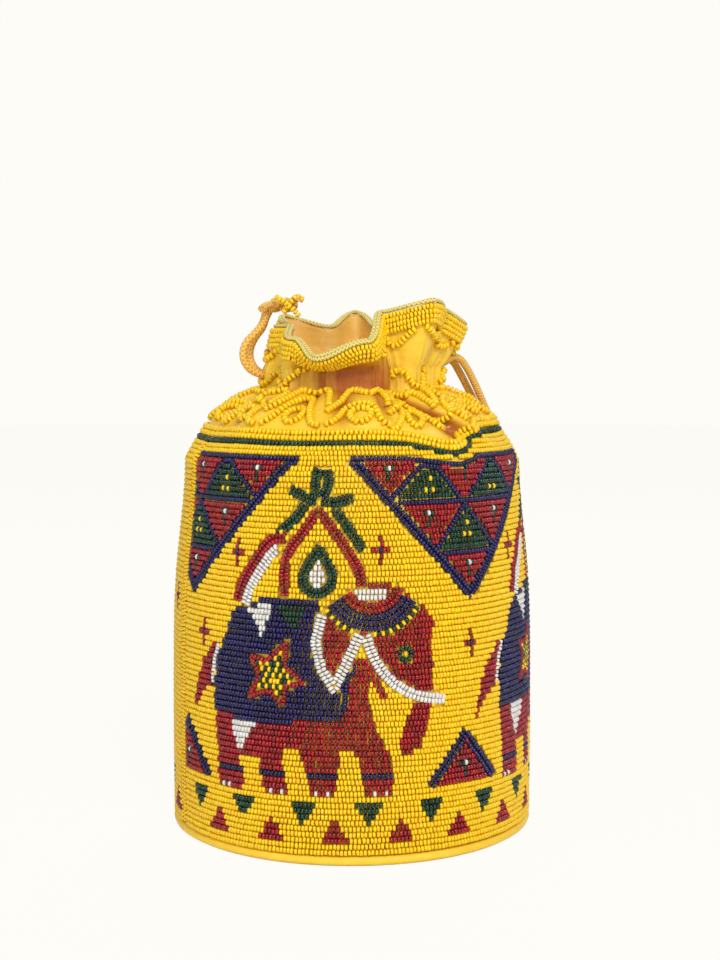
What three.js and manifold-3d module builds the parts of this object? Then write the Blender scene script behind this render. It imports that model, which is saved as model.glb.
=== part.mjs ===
// A potli: a round drawstring pouch of satin sewn over with seed beads.
// It stands on its flat base, +Z up and the front towards -Y. Lengths are millimetres.
// Angles are degrees around the bag: 0 is the middle of the front, +90 the right side.
import * as THREE from 'three';
import { mergeVertices } from 'three/addons/utils/BufferGeometryUtils.js';
import Module from 'manifold-3d';

const wasm = await Module();
wasm.setup();

// Driving dimensions of the bag
const bodyRadius = 75;
const bodyTop = 150; // where the straight side turns in to the shoulder
const footInset = 0.4; // how much the side draws in at the base
const topInset = 4.6; // how much it draws in where the shoulder starts
const shoulderRise = 33.5;
const shoulderBulge = 13; // how far the side still climbs before it leans in
const shoulderReach = 9.5; // how far out the shoulder is still high above the neck
const shoulderLean = 4; // how far it leans in on its first climb
const shoulderSlope = 2; // how far it still climbs on its last stretch to the neck
const neckRadius = 37.8; // outside, at the crest of a fold
const neckHeight = 8.6; // the casing that holds both drawstrings
const neckFold = 6.2; // depth of a gather at the neck
const foldSag = 0.35; // how much a gather sinks for each millimetre it goes in
const collarFlare = 0.75; // below 1 the collar opens early
const gap = 0.3; // between pieces that touch

// Cloth, base and cord
const shellWall = 1.5;
const collarWall = 1.0;
const liningWall = 0.7;
const liningEase = 1; // the lining hangs this far inside the cloth, and closer at the collar
const baseThickness = 3.6;
const baseEdge = 1.2; // rounding of the lower edge
const boardThickness = 2;
const boardClearance = 3; // from the board's edge to the outer face of the bag
const bindingRadius = 1.1;
const cordDiameter = 3.2;
const ringClearance = 1; // from a drawstring in the casing to the deepest gather
const slotWidth = 12;
const slotSide = 97; // the drawstrings leave a little behind the two sides

// Bead fields stand on the cloth in two layers
const fieldThickness = 0.5;
const bandHeight = 3; // the dark green line
const bandClimb = 0.25; // its place on the shoulder, 0 at the edge and 1 at the neck
const seamAngle = -66;
const seamWidth = 5;
const seamMargin = 4; // degrees from the seam's middle to where a motif may start

// The motifs repeat around the bag
const repeat = 97.3;
const elephantCount = 3;
const elephantAngle = -14;
const elephantFoot = 27; // height of the ground line that the elephants walk on
const elephantShare = 0.878; // an elephant's share of the height from there to the shoulder
const pennantCount = 4;
const pennantAngle = -58.3;
const pennantRise = 5; // how far its top edge climbs past the edge of the side
const pennantDrop = 55.5;
const pennantHalfWidth = 53;
const pennantRows = 3;
const pennantEdge = 3.4; // the blue border, square to its side
const pennantBar = 7; // how far a small opening draws in from its corners
const pyramidAngle = -61;
const pyramidFoot = 29.5;
const pyramidHeight = 19;
const pyramidHalfWidth = 16.5;
const pyramidEdge = 4.6;
const borderCount = 18;
const borderPitch = 19.5;
const borderAngle = -53.5;
const borderGreenTop = 24;
const borderRedFoot = 8.5;
const borderHeight = 8.4;
const borderHalfWidth = 5.6;
const borderThread = 0.5; // the thread that joins the small triangles

const yellow = { color: 0xf2c40f, roughness: 0.35, metalness: 0 };
const satin = { color: 0xd9a02c, roughness: 0.5, metalness: 0 };
const paleSatin = { color: 0xdcc46a, roughness: 0.5, metalness: 0 };
const cordGold = { color: 0xdb9b2b, roughness: 0.7, metalness: 0 };
const board = { color: 0x9b8a6c, roughness: 0.9, metalness: 0 };
const red = { color: 0x8f1f22, roughness: 0.3, metalness: 0 };
const blue = { color: 0x262255, roughness: 0.3, metalness: 0 };
const green = { color: 0x17402e, roughness: 0.3, metalness: 0 };
const white = { color: 0xebe6dd, roughness: 0.35, metalness: 0 };

// Fold lines of the gathered cloth, a crest and a valley in turn, left to right around the bag.
// Each has its angle at the neck and at the rim, then the rim's radius there
// and how high the rim stands over the neck. Lower down they are evenly spaced.
const firstFold = -45;
const foldLines = [
  [-43, -37, 40, 11],
  [-20, -19, 43, 3],
  [12, 9, 43.5, 9.6],
  [31, 26, 29, 22],
  [47, 48, 45.5, 26.4],
  [67, 72, 41, 23],
  [90, 92, 48, 17.5],
  [110, 112, 31, 19],
  [132, 134, 44, 22.5],
  [153, 156, 30, 17],
  [176, 178, 43, 23.5],
  [198, 200, 30, 17],
  [222, 224, 44, 21.5],
  [246, 246, 30, 15.5],
  [268, 268, 33, 16.5],
  [292, 294, 29.5, 16.6],
];
const frontDroop = 3.8; // the neck hangs lower at the front, with the lip and the rings
const droopAngle = -8;
const halfFold = 3; // columns of the mesh from a crest to the next valley
const columns = foldLines.length * halfFold;

const radians = THREE.MathUtils.degToRad;
const { lerp, smoothstep } = THREE.MathUtils;
const shoulderTop = bodyTop + shoulderRise;
const pennantTop = bodyTop + pennantRise;
const neckTop = shoulderTop + neckHeight;
const cordRadius = cordDiameter / 2;
const cordRingRadius = neckRadius - neckFold - shellWall - cordRadius - ringClearance;
const shoulderStart = bodyRadius - topInset;

// The shoulder's section at a crest, from the top of the side to the neck
const shoulderCurve = new THREE.CubicBezierCurve(
  new THREE.Vector2(shoulderStart, bodyTop),
  new THREE.Vector2(shoulderStart - shoulderLean, bodyTop + shoulderBulge),
  new THREE.Vector2(neckRadius + shoulderReach, shoulderTop - shoulderSlope),
  new THREE.Vector2(neckRadius, shoulderTop),
);

function around(angle, radius, height) {
  return new THREE.Vector3(
    radius * Math.sin(radians(angle)),
    -radius * Math.cos(radians(angle)),
    height,
  );
}

function droop(angle) {
  return frontDroop * smoothstep(Math.cos(radians(angle - droopAngle)), 0.1, 1);
}

// What a column has of the fold line before it and of the one after it
function foldsAt(column) {
  const place = ((column / halfFold) % foldLines.length + foldLines.length) % foldLines.length;
  const index = Math.floor(place);
  const before = foldLines[index];
  const after = foldLines[(index + 1) % foldLines.length];
  const turn = index + 1 === foldLines.length ? 360 : 0;
  const share = place - index;
  const wave = (1 - Math.cos(Math.PI * share)) / 2;
  const crest = index % 2 === 0 ? 1 - wave : wave;
  return {
    crest,
    lowAngle: firstFold + place * 360 / foldLines.length,
    neckAngle: lerp(before[0], after[0] + turn, share),
    rimAngle: lerp(before[1], after[1] + turn, share),
    rimRadius: lerp(before[2], after[2], wave),
    rimRise: lerp(before[3], after[3], wave),
  };
}

// A point of the bag's outside. The level is 0 at the base, 1 at the top of the side,
// 2 where the shoulder meets the neck, 3 at the top of the neck and 4 at the rim.
function skin(column, level) {
  const { crest, lowAngle, neckAngle, rimAngle, rimRadius, rimRise } = foldsAt(column);
  if (level <= 1) {
    const foot = footInset * (1 - smoothstep(level, 0, 0.3));
    const top = topInset * smoothstep(level, 0.4, 1) ** 2;
    return around(lowAngle, bodyRadius - foot - top, lerp(baseThickness + gap, bodyTop, level));
  }
  if (level <= 2) {
    const share = level - 1;
    const { x, y } = shoulderCurve.getPoint(share);
    const depth = neckFold * smoothstep(share, 0.05, 0.7) * (1 - crest);
    const angle = lerp(lowAngle, neckAngle, share);
    const sag = foldSag * depth * (1 - share) + droop(angle) * smoothstep(share, 0.3, 1);
    return around(angle, x - depth, y - sag);
  }
  const neck = neckRadius - neckFold * (1 - crest);
  if (level <= 3) {
    const height = lerp(shoulderTop, neckTop, level - 2) - droop(neckAngle);
    return around(neckAngle, neck, height);
  }
  const share = level - 3;
  const radius = lerp(neck, rimRadius, share ** collarFlare);
  const angle = lerp(neckAngle, rimAngle, share);
  return around(angle, radius, neckTop + rimRise * share - droop(angle));
}

// The same point moved out (or in, below zero) square to the cloth
function offSkin(column, level, offset) {
  const step = 0.01;
  const low = Math.max(level - step, 0);
  const high = Math.min(level + step, 4);
  const along = skin(column + step, level).sub(skin(column - step, level));
  const up = skin(column, high).sub(skin(column, low));
  return skin(column, level).addScaledVector(along.cross(up).normalize(), offset);
}

// The lining follows the cloth, except at the neck, where it lies inside the drawstrings
function liningPoint(column, level, offset) {
  const wall = level > 3 ? lerp(shellWall, collarWall, level - 3) : shellWall;
  const ease = lerp(liningEase, 1.5 * gap, smoothstep(level, 3.4, 4));
  const onCloth = offSkin(column, level, offset - wall - ease);
  const atNeck = smoothstep(level, 1.55, 2) * (1 - smoothstep(level, 3, 3.5));
  const { crest, neckAngle } = foldsAt(column);
  const inside = cordRingRadius - cordRadius - 2 * gap - (1 - crest) * neckFold / 2;
  const inCasing = around(neckAngle, inside + offset, onCloth.z);
  return onCloth.lerp(inCasing, atNeck);
}

// A closed solid from rings of points, each ring one row around the bag.
// A row that is a single point closes the solid there as a pole.
function loft(rows) {
  const positions = [];
  const starts = rows.map((row) => {
    const start = positions.length / 3;
    row.forEach((p) => positions.push(p.x, p.y, p.z));
    return start;
  });
  const at = (row, column) => starts[row] + (rows[row].length > 1 ? column % rows[row].length : 0);
  const index = [];
  const spans = rows[0].length > 1 ? rows.length : rows.length - 1;
  for (let row = 0; row < spans; row += 1) {
    const next = (row + 1) % rows.length;
    for (let column = 0; column < columns; column += 1) {
      const corners = [at(row, column), at(row, column + 1), at(next, column + 1), at(next, column)];
      if (rows[row].length > 1) index.push(corners[0], corners[1], corners[2]);
      if (rows[next].length > 1) index.push(corners[0], corners[2], corners[3]);
    }
  }
  const geometry = new THREE.BufferGeometry();
  geometry.setAttribute('position', new THREE.Float32BufferAttribute(positions, 3));
  geometry.setIndex(index);
  return geometry;
}

function ring(pointAt) {
  return Array.from({ length: columns }, (_, column) => pointAt(column));
}

function merged(geometry) {
  geometry.deleteAttribute('normal');
  geometry.deleteAttribute('uv');
  return mergeVertices(geometry);
}

function solidOf(geometry) {
  const mesh = merged(geometry);
  return new wasm.Manifold(new wasm.Mesh({
    numProp: 3,
    vertProperties: new Float32Array(mesh.attributes.position.array),
    triVerts: new Uint32Array(mesh.index.array),
  }));
}

function geometryOf(solid) {
  const mesh = solid.getMesh();
  const geometry = new THREE.BufferGeometry();
  geometry.setAttribute('position', new THREE.BufferAttribute(mesh.vertProperties, mesh.numProp));
  geometry.setIndex(new THREE.BufferAttribute(mesh.triVerts, 1));
  return geometry;
}

const bag = new THREE.Group();

function add(name, geometry, look) {
  const mesh = new THREE.Mesh(geometry, new THREE.MeshStandardMaterial(look));
  mesh.name = name;
  bag.add(mesh);
}

// Rows of the outer bag, close together where the cloth bends
const sideLevels = [0, 0.75, 1];
const shoulderLevels = [1.18, 1.36, 1.58, 1.8, 2];
const collarLevels = [3, 3.5, 4];
const innerLevels = [4, 3.75, 3.5, 3, 2, 1.7, 1.36, 1, 0.75, 0];

function slot(angle, height) {
  const box = new THREE.BoxGeometry(slotWidth, 2 * neckFold + 2 * shellWall, cordDiameter + 4 * gap);
  box.translate(0, -neckRadius + neckFold / 2, 0);
  box.rotateZ(radians(angle));
  box.translate(0, 0, height);
  return solidOf(box);
}

const lowerRing = shoulderTop + neckHeight / 2 - cordRadius - gap;
const upperRing = lowerRing + cordDiameter + 2 * gap;

function outerBag() {
  const outside = [...sideLevels, ...shoulderLevels, ...collarLevels];
  const wallAt = (level) => (level > 3 ? lerp(shellWall, collarWall, level - 3) : shellWall);
  return solidOf(loft([
    ...outside.map((level) => ring((column) => skin(column, level))),
    ...innerLevels.map((level) => ring((column) => offSkin(column, level, -wallAt(level)))),
  ]))
    .subtract(slot(-slotSide, lowerRing))
    .subtract(slot(slotSide, upperRing));
}

function lining() {
  const levels = [0.02, 0.75, 1, 1.36, 1.7, 2, 3, 3.5, 3.75, 4];
  const floor = baseThickness + boardThickness + 2 * gap;
  const rows = (offset, bottom) => levels.map((level, i) => ring((column) => {
    const p = liningPoint(column, level, offset);
    return i === 0 ? p.setZ(bottom) : p;
  }));
  return loft([
    [new THREE.Vector3(0, 0, floor)],
    ...rows(0, floor),
    ...rows(-liningWall, floor + liningWall).reverse(),
    [new THREE.Vector3(0, 0, floor + liningWall)],
  ]);
}

// The pale piping lies on the rim and follows its ruffles
function binding() {
  const sides = 4;
  const across = (collarWall + 1.5 * gap + liningWall) / 2;
  const rows = Array.from({ length: sides }, (_, side) => {
    const turn = radians(45 + side * 360 / sides);
    return ring((column) => {
      const past = 2.5 * gap + bindingRadius + Math.sin(turn) * bindingRadius * Math.SQRT2;
      const edgeWay = skin(column, 4).sub(skin(column, 3.95)).normalize();
      return offSkin(column, 4, -across + Math.cos(turn) * bindingRadius * Math.SQRT2)
        .addScaledVector(edgeWay, past);
    });
  });
  return loft(rows);
}

function base() {
  const r = bodyRadius - footInset;
  const profile = [[0, 0], [r - baseEdge, 0], [r, baseEdge], [r, baseThickness], [0, baseThickness]];
  return new THREE.LatheGeometry(profile.map(([x, y]) => new THREE.Vector2(x, y)), 48)
    .rotateX(Math.PI / 2);
}

function baseBoard() {
  const radius = bodyRadius - boardClearance;
  const disc = new THREE.CylinderGeometry(radius, radius, boardThickness, 36);
  return disc.rotateX(Math.PI / 2).translate(0, 0, baseThickness + gap + boardThickness / 2);
}

// Bead fields: an outline on the unrolled side, in millimetres from its own centre line,
// is pushed through a thin layer that lies on the bag
const layerLevels = [0, 0.75, 1, 1.18, 1.36];

function layer(start) {
  return solidOf(loft([
    ...layerLevels.map((level) => ring((column) => offSkin(column, level, start + fieldThickness))),
    ...layerLevels.toReversed().map((level) => ring((column) => offSkin(column, level, start))),
  ]));
}

const lowerLayer = layer(gap);
const upperLayer = layer(2 * gap + fieldThickness);

function outline(points, foot = 0, scale = 1) {
  return new THREE.Shape(points.map(([along, up]) => new THREE.Vector2(
    bodyRadius * Math.sin(scale * along / bodyRadius),
    foot + scale * up,
  )));
}

function prismOf(shape, angle) {
  const prism = new THREE.ExtrudeGeometry(shape, { depth: bodyRadius, bevelEnabled: false });
  return solidOf(prism.rotateX(Math.PI / 2).translate(0, -bodyRadius / 3, 0).rotateZ(radians(angle)));
}

function field(shape, angle, where) {
  return geometryOf(where.intersect(prismOf(shape, angle)));
}

// The elephant walks to the right. Its outline runs from the tail's root around the feet
// to the trunk and the head, over the saddle cloth and around the pointed arch on its back.
const elephantBody = [
  [-41, 53], [-46, 46], [-52, 36], [-56, 23], [-49, 32], [-42, 40], [-42, 26], [-39, 5],
  [-40, 0], [-27, 0], [-27, 10], [-19, 11], [-17, 0], [-7, 0], [-9, 14], [-2, 16], [2, 0], [12, 0],
  [14, 15], [20, 14], [23, 0], [34, 0], [34, 12], [29, 23], [26, 34], [33, 36], [42, 31], [37, 18],
  [41, 15], [45, 17], [49, 28], [51, 43], [51, 62], [45, 70], [33, 75], [23, 75], [24, 84], [19, 91],
  [13, 99], [5, 108], [-1, 100], [-9, 93], [-14, 97], [-24, 86], [-31, 72], [-32, 66], [-36, 58],
];
const archOpening = [[-5, 76], [19, 76], [19, 82], [5, 100], [-5, 90]];
const saddleCloth = [
  [-41, 28], [-41, 45], [-31, 66], [-25, 70], [3, 71], [1, 56], [4, 43], [10, 33], [10, 28],
];
const earAndTusk = [
  [4, 68], [2, 56], [6, 44], [12, 36], [17, 44], [23, 56], [27, 45], [33, 38], [42, 33], [55, 30],
  [54, 34], [41, 38], [33, 45], [27, 60], [20, 60], [12, 42], [6, 56], [9, 67],
];
const headdress = [
  [12, 70], [16, 64], [23, 61.5], [33, 62], [41, 68], [35, 70], [30, 67], [24, 66], [18, 69],
];
const drop = [[5, 94], [-3, 84], [0, 77], [10, 77], [13, 84]];
const dropOpening = [[5, 89], [0, 84], [2, 80], [8, 80], [10, 84]];

const drawnTop = Math.max(...elephantBody.map(([, up]) => up));
const elephantScale = elephantShare * (bodyTop - elephantFoot) / drawnTop;

function elephant(number) {
  const angle = elephantAngle + number * repeat;
  const name = `elephant_${number + 1}`;
  const draw = (points, lift = 0) => outline(points, elephantFoot + lift, elephantScale);
  const body = draw(elephantBody);
  body.holes.push(draw(archOpening));
  add(`${name}_body`, field(body, angle, lowerLayer), red);
  add(`${name}_saddle_cloth`, field(draw(saddleCloth), angle, upperLayer), blue);
  add(`${name}_ear_and_tusk`, field(draw(earAndTusk), angle, upperLayer), white);
  add(`${name}_headdress`, field(draw(headdress, gap), angle, upperLayer), blue);
  const dropShape = draw(drop);
  dropShape.holes.push(draw(dropOpening));
  add(`${name}_drop`, field(dropShape, angle, lowerLayer), green);
}

// A large triangle that hangs from the shoulder. It is divided into rows of small triangles:
// red ones point down, and the ground shows in openings that point up.
function corner(place, row) {
  const side = 2 * pennantHalfWidth / pennantRows;
  const x = (place + row / 2) * side - pennantHalfWidth;
  return [x, pennantTop - row * pennantDrop / pennantRows];
}

function shrunk(points, inset) {
  const centre = [0, 1].map((i) => points.reduce((sum, p) => sum + p[i], 0) / points.length);
  return points.map((p) => p.map((value, i) => lerp(value, centre[i], inset)));
}

function upwardTriangles() {
  const list = [];
  for (let row = 0; row < pennantRows; row += 1) {
    for (let place = 1; place < pennantRows - row; place += 1) {
      list.push([corner(place, row), corner(place - 1, row + 1), corner(place, row + 1)]);
    }
  }
  return list;
}

// What lies left of the seam is cut off from the motif that starts at it
function cutAtSeam(solid, number) {
  const tall = 2 * bodyTop;
  const kept = [[0, 0], [0, tall], [bodyRadius, tall], [bodyRadius, 0]];
  return number === 0 ? solid.intersect(prismOf(outline(kept), seamAngle + seamMargin)) : solid;
}

function pennant(number) {
  const angle = pennantAngle + number * repeat;
  const name = `pennant_${number + 1}`;
  const whole = [corner(0, 0), corner(0, pennantRows), corner(pennantRows, 0)];
  const rowDrop = pennantDrop / pennantRows;
  const inner = shrunk(whole, 3 * pennantEdge / pennantDrop);
  const ground = lowerLayer.intersect(prismOf(outline(whole), angle));
  const redField = upwardTriangles().reduce((left, triangle) => {
    const opening = shrunk(triangle, pennantBar / rowDrop);
    return left.subtract(prismOf(outline(opening), angle));
  }, upperLayer.intersect(prismOf(outline(inner), angle)));
  add(`${name}_ground`, geometryOf(cutAtSeam(ground, number)), blue);
  add(`${name}_red_field`, geometryOf(cutAtSeam(redField, number)), red);
}

function pyramid(number) {
  const angle = pyramidAngle + number * repeat;
  const name = `pyramid_${number + 1}`;
  const top = pyramidFoot + pyramidHeight;
  const outer = [[-pyramidHalfWidth, pyramidFoot], [pyramidHalfWidth, pyramidFoot], [0, top]];
  const inner = shrunk(outer, 2 * pyramidEdge / pyramidHeight)
    .map(([x, y], i) => [x, i < 2 ? 0 : y]);
  const whole = prismOf(outline(outer), angle);
  const chevron = upperLayer.intersect(whole).subtract(prismOf(outline(inner), angle));
  add(`${name}_red_field`, geometryOf(cutAtSeam(lowerLayer.intersect(whole), number)), red);
  add(`${name}_chevron`, geometryOf(cutAtSeam(chevron, number)), blue);
}

function seamPrism(width) {
  const half = width / 2;
  const foot = baseThickness + 2 * gap;
  const corners = [[-half, foot], [half, foot], [half, bodyTop], [-half, bodyTop]];
  return prismOf(outline(corners), seamAngle);
}

// A thin strip around the bag that ends at the seam, from columns of angle, low and high edge
function strip(places) {
  const near = 2 * gap;
  const corners = places.map(([angle, low, high]) => [[low, near], [low, near + fieldThickness],
    [high, near + fieldThickness], [high, near]].map(([height, out]) => around(
    angle, bodyRadius - footInset / 2 + out, height,
  )));
  const positions = corners.flat().flatMap((p) => [p.x, p.y, p.z]);
  const index = [0, 1, 2, 0, 2, 3];
  for (let i = 0; i + 1 < places.length; i += 1) {
    for (let side = 0; side < 4; side += 1) {
      const a = 4 * i + side;
      const b = 4 * i + (side + 1) % 4;
      index.push(a, b + 4, b, a, a + 4, b + 4);
    }
  }
  const last = 4 * (places.length - 1);
  index.push(last, last + 2, last + 1, last, last + 3, last + 2);
  const geometry = new THREE.BufferGeometry();
  geometry.setAttribute('position', new THREE.Float32BufferAttribute(positions, 3));
  geometry.setIndex(index);
  return geometry;
}

// One row of small triangles, joined along one side by the thread that they are strung on
function border(name, threadHeight, tipHeight, startAngle, look) {
  const half = THREE.MathUtils.radToDeg(borderHalfWidth / bodyRadius);
  const up = tipHeight > threadHeight;
  const other = threadHeight + (up ? borderThread : -borderThread);
  const column = (angle, edge) => [angle, Math.min(threadHeight, edge), Math.max(threadHeight, edge)];
  const places = Array.from({ length: borderCount }, (_, i) => {
    const angle = startAngle + i * borderPitch;
    return [column(angle - half, other), column(angle, tipHeight), column(angle + half, other)];
  }).flat();
  add(name, strip(places), look);
}

// The dark line runs around the bag on the shoulder
function shoulderLine() {
  const low = 1 + bandClimb;
  const high = low + bandHeight / shoulderRise;
  const row = (level, offset) => ring((column) => offSkin(column, level, offset));
  return loft([
    row(low, gap), row(low, gap + fieldThickness), row(high, gap + fieldThickness), row(high, gap),
  ]);
}

// Cords have a section of eight sides. A strand leaves its slot, and its points follow the cord.
const cordSection = new THREE.Shape(Array.from({ length: 8 }, (_, i) => new THREE.Vector2(
  cordRadius * Math.cos(i * Math.PI / 4),
  cordRadius * Math.sin(i * Math.PI / 4),
)));

function cordAlong(points, stepLength = 2.5 * cordDiameter) {
  const path = new THREE.CatmullRomCurve3(points.map((p) => new THREE.Vector3(...p)));
  const steps = Math.ceil(path.getLength() / stepLength);
  return new THREE.ExtrudeGeometry(cordSection, { steps, extrudePath: path, bevelEnabled: false });
}

const leftFrontStrand = [
  [-31.5, 1.8, 185.6], [-36, 1.4, 185.4], [-40.8, 0.2, 186.2], [-44.4, -1, 189.2],
  [-46, -1.4, 193.6], [-44.8, -1, 198.6], [-41.4, 0, 202.6], [-38.6, 1.4, 206],
  [-37.2, 2.6, 209.6], [-36.8, 3.8, 213.2],
];
const leftBackStrand = [
  [-30.9, 6.6, 185.6], [-35.2, 7.6, 185.2], [-39.6, 9.2, 186.4], [-43, 11.4, 190],
  [-44, 13.2, 195.2], [-42.2, 14.2, 200.6], [-38.8, 14, 205.4], [-37, 12.8, 210],
  [-35, 11, 213.6],
];
const rightOuterStrand = [
  [31.5, 1.8, 189.4], [36.2, 2.4, 189.4], [39.8, 3.6, 191], [42.6, 5, 192.8], [45.8, 7, 192.2],
  [48.8, 9.4, 188.8], [51.8, 11.8, 183.6], [54.8, 14.6, 177.4], [58, 18.6, 170.6],
  [61.4, 26.4, 162.8], [62.4, 36, 155.6], [59.4, 46.4, 147], [56.8, 53.2, 136],
  [55, 56.4, 120], [54.4, 57, 100], [54.4, 57, 76], [54.8, 57.4, 53.2],
];
const rightInnerStrand = [
  [31, 6.4, 189.4], [35.2, 6.8, 189.6], [38.2, 7.8, 191.2], [40.8, 9.4, 192.2], [43.4, 11.4, 190.8],
  [46, 13.8, 187], [49, 16.4, 181.6], [52, 19.4, 176], [55, 23.2, 170.2], [58.2, 29.4, 165],
  [60.2, 38.2, 158.2], [57.2, 48.8, 149.4], [54.2, 55.8, 137.4], [52, 59.2, 120.4],
  [51.2, 60, 100], [51.2, 60, 76], [51, 60.4, 53.2],
];
const knotRadius = 3.4;
const knotStrand = 1.5;
const leftKnot = {
  at: [-29.6, 6, 215],
  tails: [
    [[-33, 3, 215.2], [-36, -2, 214.6], [-38, -6, 213]],
    [[-27, 5, 215.6], [-24.6, 1, 217], [-22.6, -2.4, 218]],
  ],
};
const rightKnot = {
  at: [57, 58.4, 47],
  turn: 135.7, // it hangs upright against the side
  tails: [
    [[57.6, 56.8, 43], [58, 56.8, 34], [57.8, 56.6, 27]],
    [[54.4, 59.8, 43], [53.6, 60.6, 34], [53.6, 60.4, 26]],
  ],
};

// The left knot lies on the rim, the right one is turned upright
function knot({ at, tails, turn }) {
  const body = new THREE.TorusKnotGeometry(knotRadius, knotStrand, 24, 6, 2, 3);
  if (turn !== undefined) body.rotateX(Math.PI / 2).rotateZ(radians(turn));
  const start = solidOf(body.translate(...at));
  return geometryOf(tails.reduce((left, tail) => left.add(solidOf(cordAlong(tail))), start));
}

function cordRing(height) {
  const ringGeometry = new THREE.TorusGeometry(cordRingRadius, cordRadius, 8, 24);
  const place = ringGeometry.getAttribute('position');
  for (let i = 0; i < place.count; i += 1) {
    const angle = THREE.MathUtils.radToDeg(Math.atan2(place.getX(i), -place.getY(i)));
    place.setZ(i, place.getZ(i) + height - droop(angle));
  }
  return merged(ringGeometry);
}

add('beaded_bag', geometryOf(outerBag()), yellow);
add('lining', lining(), satin);
add('mouth_binding', binding(), paleSatin);
add('base_cover', merged(base()), yellow);
add('base_board', merged(baseBoard()), board);
add('side_seam', geometryOf(lowerLayer.intersect(seamPrism(seamWidth))), yellow);
add('shoulder_line', shoulderLine(), green);
border('border_green', borderGreenTop, borderGreenTop - borderHeight, borderAngle, green);
border('border_red', borderRedFoot, borderRedFoot + borderHeight, borderAngle + borderPitch / 2, red);
for (let number = 0; number < elephantCount; number += 1) elephant(number);
for (let number = 0; number < pennantCount; number += 1) {
  pennant(number);
  pyramid(number);
}
add('drawstring_left_ring', cordRing(lowerRing), cordGold);
add('drawstring_right_ring', cordRing(upperRing), cordGold);
add('drawstring_left_front_strand', merged(cordAlong(leftFrontStrand)), cordGold);
add('drawstring_left_back_strand', merged(cordAlong(leftBackStrand)), cordGold);
add('drawstring_right_outer_strand', merged(cordAlong(rightOuterStrand)), cordGold);
add('drawstring_right_inner_strand', merged(cordAlong(rightInnerStrand)), cordGold);
add('drawstring_left_knot', knot(leftKnot), cordGold);
add('drawstring_right_knot', knot(rightKnot), cordGold);

export default bag;
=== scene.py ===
# %% [markdown]
# A potli is a round drawstring pouch. This one is golden satin, sewn over with glass seed
# beads in rows. The imported model gives the frame: every piece below takes its place from it.

# %% Load the frame
import itertools
import math
import bmesh
import bpy
import numpy as np
from mathutils import Matrix, Vector


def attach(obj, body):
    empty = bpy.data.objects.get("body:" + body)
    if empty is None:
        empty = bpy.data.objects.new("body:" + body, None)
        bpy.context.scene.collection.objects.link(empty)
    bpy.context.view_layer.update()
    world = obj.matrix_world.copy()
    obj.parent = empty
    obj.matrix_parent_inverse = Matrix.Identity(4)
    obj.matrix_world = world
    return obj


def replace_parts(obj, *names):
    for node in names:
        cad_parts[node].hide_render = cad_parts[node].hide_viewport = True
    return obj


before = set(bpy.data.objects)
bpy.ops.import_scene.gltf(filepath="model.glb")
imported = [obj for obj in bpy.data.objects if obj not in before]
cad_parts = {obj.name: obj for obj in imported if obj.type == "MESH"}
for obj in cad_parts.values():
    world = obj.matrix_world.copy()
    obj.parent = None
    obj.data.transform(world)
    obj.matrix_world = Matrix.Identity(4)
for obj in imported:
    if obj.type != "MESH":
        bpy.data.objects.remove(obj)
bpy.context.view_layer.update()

MM = 0.001

# %% [markdown]
# The camera stands where the photographer stood: 0.69 m in front, level with the drawstrings.
# Upright lines stay upright in the photograph, so the camera looks level, and its shift brings
# the bag into the lower part of the frame. The camera comes first, because the cords are judged
# by what it sees.

# %% Camera
camera = bpy.data.objects.new("camera", bpy.data.cameras.new("camera"))
bpy.context.scene.collection.objects.link(camera)
camera.location = (0.0034, -0.690, 0.193)
camera.rotation_euler = (math.radians(90), 0, 0)
camera.data.lens = 61.1
camera.data.shift_y = -0.1285
bpy.context.scene.camera = camera
bpy.context.scene.view_settings.view_transform = "Standard"
print("camera lens", camera.data.lens, "mm")

# %% [markdown]
# A few helpers serve all the pieces. One turns a mesh into an object that rides on the bag's
# only body. Another adds one node to a material, with its values and links.

# %% Helpers for pieces and nodes
def link(made):
    bpy.context.scene.collection.objects.link(made)
    return made


def mesh_of(name, form):
    mesh = bpy.data.meshes.new(name)
    form.to_mesh(mesh)
    form.free()
    return mesh


def piece_of(name, mesh, material):
    made = link(bpy.data.objects.new(name, mesh))
    mesh.shade_smooth()
    mesh.materials.append(material)
    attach(made, "root")
    return made


def linear(code):
    parts = [int(code[i:i + 2], 16) / 255 for i in (1, 3, 5)]
    return [c / 12.92 if c <= 0.04045 else ((c + 0.055) / 1.055) ** 2.4 for c in parts] + [1]


def add_node(tree, kind, settings):
    """A setting is a property, the value of an input, or the output that feeds an input."""
    made = tree.nodes.new(kind)
    for key, value in settings.items():
        if isinstance(value, bpy.types.NodeSocket):
            tree.links.new(value, made.inputs[key])
        elif isinstance(key, int) or key in made.inputs:
            made.inputs[key].default_value = value
        else:
            setattr(made, key, value)
    return made.outputs


def blend(tree, share, *colours):
    """A colour between two others, each a code or the output of a node."""
    first, second = [linear(c) if isinstance(c, str) else c for c in colours]
    return add_node(tree, "ShaderNodeMix", {
        "data_type": "RGBA", 0: share, 6: first, 7: second})[2]


def attribute(tree, name):
    return add_node(tree, "ShaderNodeAttribute", {"attribute_name": name})["Fac"]


def new_material(name):
    made = bpy.data.materials.new(name)
    made.use_nodes = True
    made.node_tree.nodes.clear()
    return made, made.node_tree


def closed_with(made, kind, settings):
    shader = add_node(made.node_tree, kind, settings)
    add_node(made.node_tree, "ShaderNodeOutputMaterial", {"Surface": shader[0]})
    return made


# %% [markdown]
# Glass seed beads are cut from a drawn glass cane and tumbled until their edges are round. The
# opaque ones are evenly coloured and glossy, and each differs a little from its neighbour. The
# thread pulls every bead tight against the next, so the ends with the holes lie in shade. Two
# values on the mesh carry this: "tint" is one number for each bead, and "hole" is 1 at its ends.

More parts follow.
